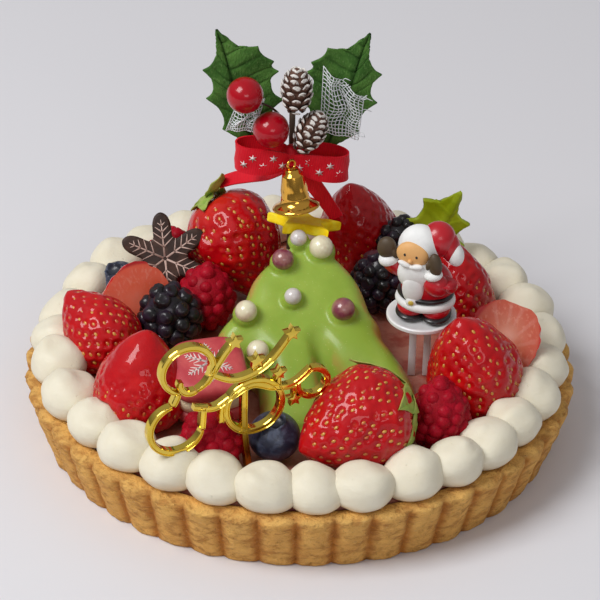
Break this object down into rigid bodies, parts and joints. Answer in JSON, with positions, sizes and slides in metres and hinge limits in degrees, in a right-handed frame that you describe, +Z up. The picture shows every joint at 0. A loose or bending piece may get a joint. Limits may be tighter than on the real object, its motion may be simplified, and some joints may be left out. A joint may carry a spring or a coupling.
{
  "type": "strawberry tart",
  "caption": "Round fluted tart with a cream border, strawberries, berries, a green mousse tree, a small macaron and winter holiday picks standing on top.",
  "frame": {"origin": "middle of the crust's flat underside, on the surface that the tart stands on", "axes": "+Z up; -Y is the front that the picks and the figure face; +X to the right seen from the front"},
  "size_m": [0.18, 0.18, 0.1209],
  "materials": {
    "crust": "baked shortcrust, matte",
    "filling": "set cream filling, soft gloss",
    "cream": "whipped cream, matte",
    "strawberry": "glazed strawberry",
    "flesh": "cut strawberry",
    "calyx": "strawberry leaf",
    "raspberry": "raspberry",
    "dark_berry": "bramble, glossy black",
    "blueberry": "blueberry with bloom",
    "mousse": "green glazed mousse",
    "yellow": "yellow chocolate",
    "chocolate": "dark chocolate with a pale print",
    "macaron": "red macaron shell",
    "macaron_cream": "macaron cream",
    "gold": "gold plating",
    "red": "red lacquer",
    "figure": "painted plastic",
    "white": "white plastic",
    "net": "white woven net",
    "leaf_chocolate": "green chocolate",
    "holly": "embossed green fabric",
    "ribbon": "ribbed red ribbon",
    "cone": "small pine cone with white tips",
    "stick": "thin stick"
  },
  "bodies": {
    "root": {"crust": "crust", "filling": "filling", "cream_border": "cream", "strawberry_left": "strawberry", "strawberry_glazed": "strawberry", "strawberry_rear_left": "strawberry", "strawberry_rear_right": "strawberry", "strawberry_front": "strawberry", "strawberry_right": "strawberry", "strawberry_rear_dark": "strawberry", "strawberry_slice_left": "flesh", "strawberry_slice_right": "flesh", "raspberry_left": "raspberry", "raspberry_front": "raspberry", "raspberry_right": "raspberry", "raspberry_rear_left": "raspberry", "dark_berry_left": "dark_berry", "dark_berry_right": "dark_berry", "dark_berry_rear": "dark_berry", "blueberry_front": "blueberry", "blueberry_rear_left": "blueberry", "gold_sign": "gold", "tree": "mousse", "star": "yellow", "snowflake_chocolate": "chocolate", "macaron_upper_shell": "macaron", "macaron_cream": "macaron_cream", "macaron_lower_shell": "macaron", "figure": "figure", "figure_stand": "white", "leaf_chocolate": "leaf_chocolate", "calyx_rear_left": "calyx", "calyx_front": "calyx", "pick_stick": "stick", "holly_left": "holly", "holly_right": "holly", "net_left": "net", "net_right": "net", "ribbon_bow": "ribbon", "bell": "gold", "red_berry_upper": "red", "red_berry_lower": "red", "cone_upper": "cone", "cone_lower": "cone"}
  },
  "joints": []
}
